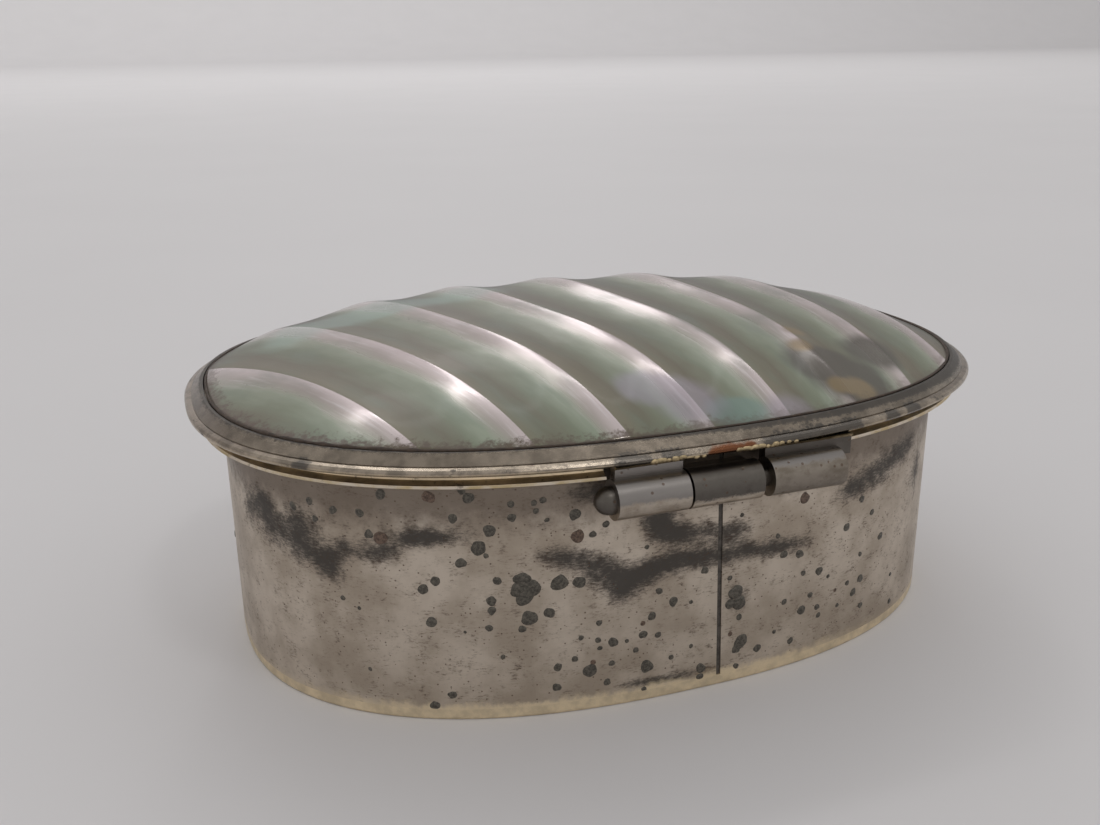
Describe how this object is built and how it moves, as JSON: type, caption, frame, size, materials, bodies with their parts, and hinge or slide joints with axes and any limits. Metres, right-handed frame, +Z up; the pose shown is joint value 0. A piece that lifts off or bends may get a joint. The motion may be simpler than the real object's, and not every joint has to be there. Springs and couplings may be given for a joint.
{
  "type": "pill box",
  "caption": "Small oval metal pill box with a hinged lid that carries a carved, domed shell inlay.",
  "frame": {"origin": "middle of the underside of the base plate, on the surface that the box stands on", "axes": "+X along the box's length, -Y towards the hinge, +Z up out of the box"},
  "size_m": [0.045, 0.0336, 0.0173],
  "materials": {
    "wall_metal": "nickel silver, tarnished and pitted",
    "base_metal": "nickel silver, tarnished and pitted",
    "hinge_metal": "nickel silver, tarnished and pitted",
    "rim_metal": "nickel silver, tarnished and pitted",
    "lid_metal": "nickel silver, tarnished and pitted",
    "collar_metal": "yellow band, dulled",
    "solder": "yellow solder, darkened",
    "cement": "dark brown cement",
    "shell": "carved and polished mother-of-pearl"
  },
  "bodies": {
    "box": {"body_wall": "wall_metal", "wall_seam_solder": "solder", "base_plate": "base_metal", "base_solder": "solder", "body_knuckle": "hinge_metal", "body_saddle": "hinge_metal"},
    "lid": {"hinge_pin": "hinge_metal", "lid_knuckle_left": "hinge_metal", "lid_knuckle_right": "hinge_metal", "lid_leaf_left": "hinge_metal", "lid_leaf_right": "hinge_metal", "leaf_solder_left": "solder", "leaf_solder_right": "solder", "lid_plate": "lid_metal", "lid_collar": "collar_metal", "lid_bezel": "rim_metal", "lid_bead": "rim_metal", "shell_cement": "cement", "shell_inlay": "shell"}
  },
  "joints": [
    {"name": "lid_hinge", "type": "hinge", "parent": "box", "child": "lid", "pos_m": [0.0009, -0.0162, 0.01191], "axis": [1, 0, 0], "range_deg": [0, 180]}
  ]
}
